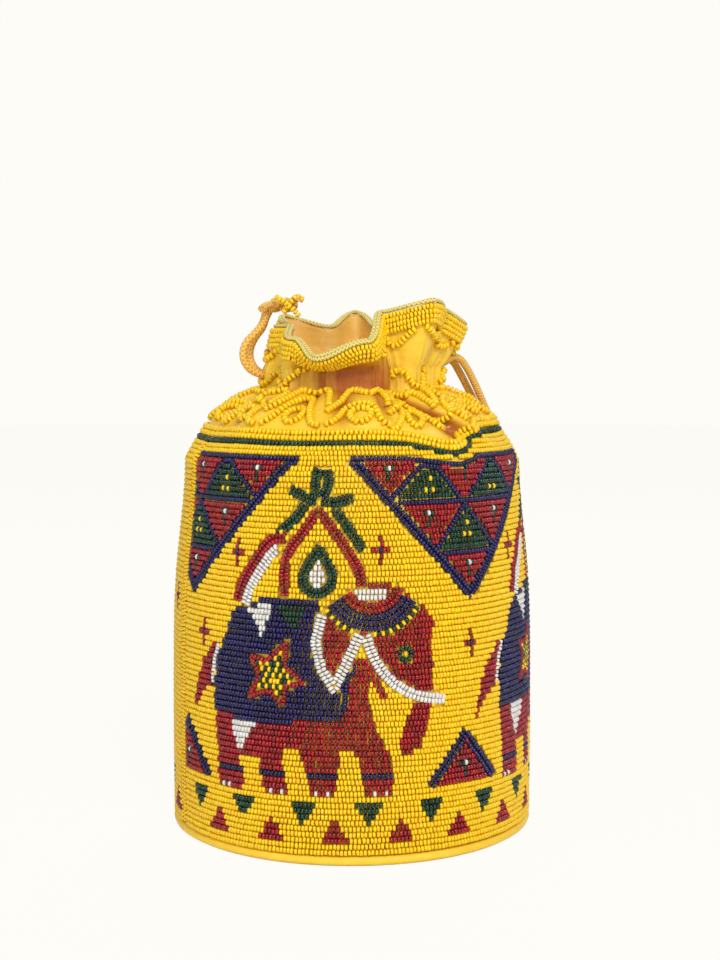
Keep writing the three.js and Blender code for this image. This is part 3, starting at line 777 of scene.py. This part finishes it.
SADDLE_CLOTH = [(-41.8, 26), (-41.8, 34.8), (-40.9, 45.1), (-34.9, 58), (-31.2, 65.8),
                (-24.8, 69.6), (-13.3, 71.8), (-2.7, 72), (6, 71), (2.6, 55.4), (5.3, 45.7),
                (11.9, 35.9), (17.6, 43), (21, 50.5), (19.5, 44), (16.6, 36), (15.6, 31),
                (14.8, 25.4), (-12.8, 24.6), (-28.6, 24.4)]
WHITE_AREAS = [
    [(-24.8, 67.5), (-13.5, 69.6), (-17.2, 56)], [(-32.3, 24.4), (-19.8, 24.4), (-28.6, 10.6)],
    [(5, 88), (0.2, 78.5), (2, 76.6), (7.6, 76.6), (9.6, 79.4)],
    [(16.6, 70.4), (19, 74.4), (24, 76.8), (30, 76.6), (34.6, 74), (36, 70.4), (31, 68.4),
     (22, 68.4)]]
GREEN_AREA = [(-11.2, 69.6), (1.2, 69.6), (-4.6, 60.4)]
STAR = [(-22.8, 49), (-15.4, 47.6), (-7.2, 55.2), (-7.6, 46), (0, 40), (-7.4, 38.6), (-8.6, 31),
        (-14.4, 36.4), (-23.4, 33.4), (-18.6, 42), (-22.8, 49)]
ARCH = [(-9, 72.6), (-10, 82), (-8.6, 90.6), (-1, 99), (4.8, 107.6), (12, 99), (18.9, 89.6),
        (23, 82.7), (23.6, 77)]
CLOAK = [(-8.4, 95.6), (-14.4, 95.8), (-18.9, 91.9), (-23.8, 85), (-28.8, 77.4), (-31, 70)]
CAP_CENTRE = (26.4, 80.4)
LEAVES = [[(4.2, 109), (-1, 110.4), (-7.4, 113.2)], [(6, 109), (12, 108.4), (19.4, 110.4)],
          [(4.2, 110.4), (3.4, 115.6), (5, 121.6)], [(6.8, 111), (9.4, 115.4), (8.6, 121.4)]]
DROP = [(5.4, 92.4), (1.4, 87.6), (-2.4, 80.8), (-1.2, 75.2), (4.6, 72.6), (10.8, 75.2),
        (12.8, 80.8), (9.2, 87.6), (5.4, 92.4)]


def ring(centre, radius, start, end):
    turn = np.radians(np.linspace(start, end, 40))
    return np.stack([centre[0] + radius * np.cos(turn), centre[1] + radius * np.sin(turn)], axis=1)


def no_beads(x):
    return np.full(np.shape(x), "", dtype=object)


def over(fill, names):
    return np.where(fill != "", fill, names)


def sew_elephant(at):
    def thread(points, colour, **how):
        string(points, colour, at, GROUND, **how)

    def threads(lines, offsets, colour, **how):
        for offset in offsets:
            for line in lines:
                thread(beside(line, offset), colour, **how)

    threads([rounded(ARCH)], (0, -2.2), "red")
    threads([rounded(CLOAK)], (0, 2.2), "red")
    for offset in (4.4, 6.5):
        thread(beside(rounded(CLOAK), offset)[5:], "white")
    threads([rounded(DROP)], (0, 2.1), "green")
    threads([[(6.2, 66.6), (3.4, 55.5), (6, 45), (11.9, 36.6)],
             [(12, 36.6), (17, 46.6), (22.6, 58.6)],
             rounded([(22.8, 58.6), (26, 49.2), (32, 41), (40.2, 35.2), (48.8, 32.6),
                      (56, 31.8)])], (0, 2.1), "white")
    thread([(20.6, 51.5), (17.8, 45.2), (16.4, 38), (15.8, 30)], "blue")
    thread([(-43.2, 36), (-42.2, 45), (-39.4, 52)], "white", room=1.3)
    for radius, start, end, colour in (
            (21.6, -146, -32, ["yellow", "green"]), (19.4, -148, -29, "blue"),
            (17.2, -148, -29, "blue"), (15, -148, -29, "blue"), (12.8, -148, -20, "red"),
            (10.6, -148, -20, "red")):
        thread(ring(CAP_CENTRE, radius, start, end), colour)
    thread(STAR, "red", room=1.3)
    thread(ring((39.6, 51.1), 2.5, 0, 360), "green")
    thread([(38.8, 51.1), (40.4, 51.1)], "yellow", room=1.2)
    for leaf in LEAVES:
        threads([rounded(leaf)], (-1.05, 1.05), "green", room=1.2)
    for offset in (2.3, 4.4):
        thread(beside([(2.8, 106.6), (-2.4, 99.8), (-9.8, 93.6)], -offset), "green", room=1.3)
        thread(beside([(6.8, 106.6), (13.4, 98.4), (20.6, 88.6)], offset), "green", room=1.3)


def elephant_fill(x, y):
    """Colour of the level rows inside the elephant, or nothing where the ground shows."""
    names = no_beads(x)
    for outline in (TAIL, BODY, HEAD, TRUNK):
        names[inside(outline, x, y)] = "red"
    names[inside(BODY, x, y) & (y > 3.4) & (y < 5.7)] = "blue"
    toes = inside(BODY, x, y) & (y < -0.2)
    for toe in (-37, -33.4, -13.6, -9.2, 4.2, 9.4, 27.4, 32):
        names[toes & (np.abs(x - toe) < ONE_BEAD[0])] = "white"
    names[inside(SADDLE_CLOTH, x, y)] = "blue"
    for outline in WHITE_AREAS:
        names[inside(outline, x, y)] = "white"
    names[inside(GREEN_AREA, x, y)] = "green"
    star = inside(STAR, x, y)
    checks = (np.floor(x / 1.5) + np.floor(y / 2.2)) % 2 == 0
    names[star & checks] = "yellow"
    names[star & ~checks] = "green"
    return names


for at in ELEPHANT_AT:
    sew_elephant(at)
print("elephants", len(sewn["centre"]), "beads in their outlines")

# %% [markdown]
# A dark green line runs around the shoulder, with two strings of larger yellow beads above it.
# On the right it dips, where the drawstring pulls a deep fold into the cloth.

# %% Lines on the shoulder
LINE_HEIGHT, DIP_ANGLE = 161.6, 37
PENNANT_LEVELS, PENNANT_HALF = [154.8, 137.2, 117.4, 99.5], 53


def green_line(along):
    """Height of the line: it dips by 5.4 mm at the fold, and lies 4.4 mm higher past it."""
    angle = np.degrees(along / BODY_RADIUS)
    dip = 5.4 * np.exp(-((angle - DIP_ANGLE) / np.where(angle < DIP_ANGLE, 13, 9)) ** 2)
    lift = 4.4 * ease(angle, 42, 60) * (1 - ease(angle, 80, 112))
    return LINE_HEIGHT - dip + lift


def pennant_top(along):
    """The pennants hang from a line that follows the green one by six tenths."""
    return PENNANT_LEVELS[0] + 0.6 * (green_line(along) - LINE_HEIGHT)


around = np.linspace(SEAM + 1, SEAM + AROUND - 1, 1600)
sew(*to_surface(around, green_line(around)), "green", size=1.1)
for rise in (2.5, 5.0):
    sew(*to_surface(around, green_line(around) + rise), "yellow", size=1.2, lift=1.0)
print("with the shoulder's lines", len(sewn["centre"]), "beads")

# %% [markdown]
# Large triangles hang from the shoulder like pennants, and small ones stand between the
# elephants. Both have blue borders. Blue lattice lines divide a pennant: red fields point down,
# each with a small green mark around a white bead, and green ones point up with yellow beads.

# %% Pennants and pyramids
PENNANT_AT = [arc(-58.3) + i * arc(REPEAT_ANGLE) for i in range(4)]
PYRAMID_AT = [arc(-61 + REPEAT_ANGLE * i) for i in range(4)]
PYRAMID_FOOT, PYRAMID_TOP, PYRAMID_HALF = 29.5, 49, 16.8


def lattice(place, row):
    top, height, tip = PENNANT_LEVELS[0], PENNANT_LEVELS[row], PENNANT_LEVELS[3]
    half = PENNANT_HALF * (height - tip) / (top - tip)
    return (2 * half * place / max(3 - row, 1) - half, height)


def hang(points, at, down):
    """Keeps a line of a pennant that many mm below its upper edge."""
    line = fine(points)
    line[:, 1] = np.minimum(line[:, 1], pennant_top(line[:, 0] + at) - down)
    return line


def sew_pennant(at):
    def thread(line, down=2, room=1.3):
        string(hang(line, at, down), "blue", at, room=room)

    left, right, tip = lattice(0, 0), lattice(3, 0), lattice(0, 3)
    thread([left, right], down=0, room=1.5)
    for offset in (0, 2.1):
        thread(beside([left, tip], offset))
        thread(beside([tip, right], offset))
    for row in (1, 2):
        thread([lattice(0, row), lattice(3 - row, row)])
        thread([lattice(row, 0), lattice(0, row)])
        thread([lattice(3 - row, 0), lattice(3 - row, row)])


def near(x, y, half_along=ONE_BEAD[0], half_up=ONE_BEAD[1]):
    return (np.abs(x) < half_along) & (np.abs(y) < half_up)


def mark(names, x, y):
    """A green mark around one white bead."""
    names[near(x, y, half_along=2.4) | near(x, y + 2.2, half_up=3.3)] = "green"
    names[near(x, y)] = "white"


def sew_pyramid(at):
    top = (0, PYRAMID_TOP)
    for offset in (0, -2.2):
        string(beside([(-PYRAMID_HALF, PYRAMID_FOOT), top], offset), "blue", at)
        string(beside([top, (PYRAMID_HALF, PYRAMID_FOOT)], offset), "blue", at)


def triangle_fill(x, y):
    """Colours inside a pennant: red fields point down, green ones up, with yellow beads."""
    names = no_beads(x)
    names[inside([lattice(0, 0), lattice(0, 3), lattice(3, 0)], x, y)] = "red"
    for row in range(3):
        for place in range(3 - row):
            left, right = lattice(place, row), lattice(place + 1, row)
            mark(names, x - (left[0] + right[0]) / 2, y - left[1] + 4.8)
    for row in range(3):
        for place in range(1, 3 - row):
            top, left = lattice(place, row), lattice(place - 1, row + 1)
            names[inside([top, left, lattice(place, row + 1)], x, y)] = "green"
            for dx, dy in ((0, -8), (-1.7, -12.4), (1.7, -12.4)):
                names[near(x - top[0] - dx, y - top[1] - dy)] = "yellow"
    return names


for at in PENNANT_AT:
    sew_pennant(at)
for at in PYRAMID_AT:
    sew_pyramid(at)
print("with triangles", len(sewn["centre"]), "beads")

# %% [markdown]
# Level rows fill the rest of the side. Where a motif lies, the row takes its colour. Crosses and
# the two zigzag rows of the lower border are sewn in with the rows, a few beads in each.

# %% Rows of the side
# angle around the bag and height: every elephant has two before it, between the pennants
CROSSES = [(9.2, 119.9), (38.5, 82.2), (-37.3, 118.2), (-51, 84.2), (106.5, 119.4), (135.8, 82.8),
           (60, 118.6), (203.8, 119.6), (232.4, 83), (157.3, 118), (286, 96)]


def cross_fill(along, height):
    names = no_beads(along)
    for angle, middle in CROSSES:
        x, y = along - arc(angle), height - middle
        names[near(x, y, half_up=5.4) | near(x, y, half_along=3.6)] = "red"
        names[near(x, y)] = "blue"
    return names


BORDER_SLOPE = 5.6 / 9  # half the width of a border triangle, by its height


def border_fill(along, height):
    """Green triangles that point down, and red ones below that point up, in turns."""
    names = no_beads(along)
    for i in range(18):
        x = along - arc(-53.5 + 19.5 * i)
        names[(np.abs(x) < BORDER_SLOPE * (height - 15)) & (height < 24.4)] = "green"
        x = along - arc(-43.75 + 19.5 * i)
        names[(np.abs(x) < BORDER_SLOPE * (18 - height)) & (height > 8)] = "red"
    return names


def row_colours(place, level):
    along, height = from_surface(place, level)
    names = np.full(np.shape(along), "yellow", dtype=object)
    for fill in (cross_fill(along, height), border_fill(along, height)):
        names = over(fill, names)
    for at in PENNANT_AT:
        fill = triangle_fill(along - at, height)
        fill[height >= pennant_top(along)] = ""
        names = over(fill, names)
    for at in PYRAMID_AT:
        shape = [(-PYRAMID_HALF, -1), (PYRAMID_HALF, -1), (0, PYRAMID_TOP - PYRAMID_FOOT)]
        names[inside(shape, along - at, height - PYRAMID_FOOT)] = "red"
        mark(names, along - at, height - PYRAMID_FOOT - 6)
    for at in ELEPHANT_AT:
        names = over(elephant_fill(along - at, height - GROUND), names)
    names[height > green_line(along) - 1.4] = ""
    return names


ROWS, FIRST_ROW = 75, 5.2
row_line = np.linspace(SEAM + 3.2, SEAM + AROUND - 3.2, 1400)
for row in range(ROWS):
    # no row is quite level: each waves by a quarter of a millimetre
    height = FIRST_ROW + BEAD_WIDE * row + 0.25 * np.sin(row_line / 31 + row / 9)
    sew(*to_surface(row_line, height), row_colours, room=1.28)
print("side done", len(sewn["centre"]), "beads")

# %% [markdown]
# The side seam is closed with two upright strings of yellow beads.

# %% Seam
side_count = len(sewn["centre"])
for offset in (-1.25, 1.25):
    line = np.stack([np.full(200, SEAM + offset), np.linspace(5, 160, 200)], axis=1)
    sew(*to_surface(line[:, 0], line[:, 1]), "yellow", room=1.3)
seam_end = len(sewn["centre"])
print("seam", seam_end - side_count, "beads")

# %% [markdown]
# On the shoulder single strings wander over the bare satin in waves and loops. Four rows follow
# the rim of the collar, wavy strings fill it below, and one more waves around the casing.

# %% Scrolls and rim rows
def scroll(points):
    line = fine(rounded(points, 3), 0.5)
    sew(*to_surface(line[:, 0], line[:, 1]), "yellow", size=1.25, lift=0.95, room=1.9)


WAVES = 14
half = AROUND / WAVES / 2
for i in range(WAVES):
    x = SEAM + (i + 0.5) * AROUND / WAVES
    foot = float(green_line(np.array([x]))[0]) + 8.4
    high = foot + 16 + 2.5 * math.sin(2.3 * i)
    scroll([(x - half, foot), (x - half / 1.5, foot + 1), (x - 5, high), (x + 5, high),
            (x + half / 1.5, foot + 1), (x + half, foot)])
    scroll([(x, foot + 1), (x + 5, foot + 4), (x + 4, foot + 10), (x - 4, foot + 10),
            (x - 5, foot + 4), (x, foot + 1)])
    scroll([(x - half, foot + 8), (x - half + 7, foot + 17), (x - 9, foot + 27),
            (x + 4, foot + 21), (x + 12, foot + 28), (x + half, foot + 12)])


def collar_length(place):
    f = fold_values(place)
    return np.hypot(f["rise"], f["rim_radius"] - 35)


rim = np.linspace(0, TURN, 1500)
for down in (1.1, 3.2, 5.3, 7.4):
    sew(rim, 4 - down / collar_length(rim), "yellow", size=1.05, lift=0.95, room=1.5)
for i in range(2 * TURN):
    span = np.linspace(i / 2, (i + 1) / 2, 60)
    depth = 11.4 + 2.2 * np.sin(2 * math.pi * (span - i / 2) + (i % 2) * math.pi)
    length = collar_length(span)
    if length.min() > 15:  # a shorter collar has no room below its four rows
        sew(span, 4 - depth / length, "yellow", size=1.25, lift=1.05, room=1.9)
sew(rim, 2.5 + 0.42 * np.sin(11 * 2 * math.pi * rim / TURN),
    lambda p, l: np.where(under_lip(p, l) > 0.35, "", "yellow").astype(object), size=1.2,
    lift=1.05, room=1.9)
print("all beads", len(sewn["centre"]))

# %% [markdown]
# Two short strings of beads are wound around the left knot, to finish it.

# %% Beads on the knot
def sew_in_space(points, size=1.15):
    line = np.array(points, float)
    run = run_along(line)
    count = int(run[-1] / (BEAD_LONG * size))
    for at in (np.arange(count) + 0.5) * run[-1] / count:
        here, after = points_at(at - 0.3, run, line), points_at(at + 0.3, run, line)
        add_bead((here + after) / 2, after - here, np.array([0.1, -1, 0.2]), "yellow", size)


sew_in_space([(-32.6, -2.2, 218.4), (-29, -3.4, 216.6), (-24.6, -3.6, 212.8), (-22, -2.6, 210)])
sew_in_space([(-29.2, -1.4, 211.4), (-26.6, -2.8, 215), (-23.4, -1.8, 218.6),
              (-20.4, -0.6, 216.8)])
print("with the knot's strings", len(sewn["centre"]), "beads")

# %% [markdown]
# One bead is a small sphere with few faces, pulled into a barrel. It is copied to every place
# at once with numpy, because thousands of single copies by an operator would take minutes. The
# beads of one colour make one piece, and yellow is split into front, back, seam and shoulder.
# A little chance in size, place and turn keeps the rows from looking drawn with a ruler.

# %% Bead meshes
one = bmesh.new()
bmesh.ops.create_uvsphere(one, u_segments=7, v_segments=3, radius=1)
bmesh.ops.triangulate(one, faces=one.faces)
BEAD_POINTS = np.array([v.co for v in one.verts])
BEAD_FACES = np.array([[v.index for v in f.verts] for f in one.faces])
one.free()
BEAD_HOLE = (np.abs(BEAD_POINTS[:, 2]) > 0.9).astype(float)
BEAD_SHAPE = BEAD_POINTS * np.array([0.51 * BEAD_WIDE / 0.866, 0.51 * BEAD_WIDE / 0.866,
                                     0.5 * BEAD_LONG])
BEAD_SHAPE[:, 2] *= np.where(BEAD_HOLE > 0, 0.94, 1.25)

centre = np.array(sewn["centre"])


def unit(vectors):
    return vectors / np.linalg.norm(vectors, axis=1, keepdims=True)


way = unit(np.array(sewn["way"]))
out = np.array(sewn["out"]) + rng.normal(0, 0.05, way.shape)
way = way + rng.normal(0, 0.05, way.shape)
cross = unit(np.cross(out, way))
way = unit(np.cross(cross, out))
out = np.cross(way, cross)
size = np.array(sewn["size"]) * rng.normal(1, 0.03, len(centre))
centre = centre + rng.normal(0, 0.05, centre.shape)
tint = rng.random(len(centre))
colour = np.array(sewn["colour"], dtype=object)
number = np.arange(len(centre))

# Beads nearer than this to the middle of a cord would stick in it, and are left out
CORD_ROOM = 2.7
cord_fine = np.concatenate([
    points_at(np.linspace(0, len(path) - 1, 120), range(len(path)), np.array(path) / MM)
    for path in (LEFT_FRONT, LEFT_BACK, RIGHT_OUTER, RIGHT_INNER)])
clear = np.array([np.min(np.sum((cord_fine - c) ** 2, axis=1)) > CORD_ROOM ** 2 for c in centre])


def bead_piece(name, chosen, glass, replaced=()):
    which = np.nonzero(chosen & clear)[0]
    shape = BEAD_SHAPE[None] * size[which, None, None]
    points = (centre[which, None] + shape[..., 0:1] * cross[which, None]
              + shape[..., 1:2] * out[which, None] + shape[..., 2:3] * way[which, None])
    faces = BEAD_FACES[None] + len(BEAD_POINTS) * np.arange(len(which))[:, None, None]
    mesh = bpy.data.meshes.new(name)
    mesh.from_pydata((points.reshape(-1, 3) * MM).tolist(), [], faces.reshape(-1, 3).tolist())
    for label, values in (("tint", np.repeat(tint[which], len(BEAD_POINTS))),
                          ("hole", np.tile(BEAD_HOLE, len(which)))):
        mesh.attributes.new(label, "FLOAT", "POINT").data.foreach_set("value", values)
    made = piece_of(name, mesh, GLASS[glass])
    if replaced:
        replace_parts(made, *replaced)
    print(name, len(which), "beads,", len(mesh.polygons), "triangles")
    return made


nodes = sorted(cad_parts)
ends = {"red": ("_body", "red_field", "border_red"),
        "blue": ("saddle_cloth", "headdress", "_ground", "chevron"),
        "green": ("_drop", "border_green", "shoulder_line"), "white": ("ear_and_tusk",)}
on_side = number < side_count
FRONT_END = 12  # mm: the front piece of the yellow beads reaches this far back
front = centre[:, 1] < FRONT_END
yellow = colour == "yellow"
bead_piece("yellow_beads_front", yellow & on_side & front, "yellow")
bead_piece("yellow_beads_back", yellow & on_side & ~front, "yellow")
bead_piece("seam_beads", (number >= side_count) & (number < seam_end), "yellow", ["side_seam"])
bead_piece("yellow_beads_shoulder", yellow & (number >= seam_end), "yellow")
for name in ("red", "blue", "green", "white"):
    bead_piece(name + "_beads", colour == name, name,
               [n for n in nodes if n.endswith(ends[name])])

# %% [markdown]
# The bag stands on a pale floor under plain soft light. The floor and the world show the camera
# a warm white of their own, so the lamps can stay at the level at which colours look as written.

# %% Floor, world and lamps
BACKGROUND = "#FDFCF7"


def seen_share(tree, share=1.0):
    """This share of what the camera sees, and nothing of what lights the bag."""
    path = add_node(tree, "ShaderNodeLightPath", {})["Is Camera Ray"]
    return add_node(tree, "ShaderNodeMath", {"operation": "MULTIPLY", 0: path, 1: share})[0]


def pale_floor():
    made, tree = new_material("pale_floor")
    diffuse = add_node(tree, "ShaderNodeBsdfDiffuse", {"Color": linear("#F4F3EE")})
    glow = add_node(tree, "ShaderNodeEmission", {"Color": linear(BACKGROUND), "Strength": 1.013})
    return closed_with(made, "ShaderNodeMixShader", {
        0: seen_share(tree, 0.95), 1: diffuse[0], 2: glow[0]})


floor = bmesh.new()
bmesh.ops.create_circle(floor, cap_ends=True, segments=96, radius=4)
floor_piece = link(bpy.data.objects.new("floor", mesh_of("floor", floor)))
floor_piece.data.materials.append(pale_floor())

world = bpy.data.worlds.new("studio")
bpy.context.scene.world = world
world.use_nodes = True
sky = world.node_tree
sky.nodes.clear()
seen = add_node(sky, "ShaderNodeBackground", {"Color": linear(BACKGROUND), "Strength": 1.0})
light = add_node(sky, "ShaderNodeBackground", {"Color": linear("#FFFFFF"), "Strength": 0.48})
either = add_node(sky, "ShaderNodeMixShader", {0: seen_share(sky), 1: light[0], 2: seen[0]})
add_node(sky, "ShaderNodeOutputWorld", {"Surface": either[0]})


def lamp(name, place, power, width):
    data = bpy.data.lights.new(name, "AREA")
    data.energy, data.size = power, width
    made = link(bpy.data.objects.new(name, data))
    made.location = place
    towards = Vector((0, 0, 0.11)) - Vector(place)
    made.rotation_euler = towards.to_track_quat("-Z", "Y").to_euler()


lamp("key_lamp", (0.35, -1.1, 1.0), 12, 0.5)
lamp("fill_lamp", (-0.95, -0.8, 0.5), 2.5, 0.8)
lamp("back_lamp", (0.1, 1.1, 0.9), 4, 0.8)
print("lamps", sorted(light.name for light in bpy.data.lights))
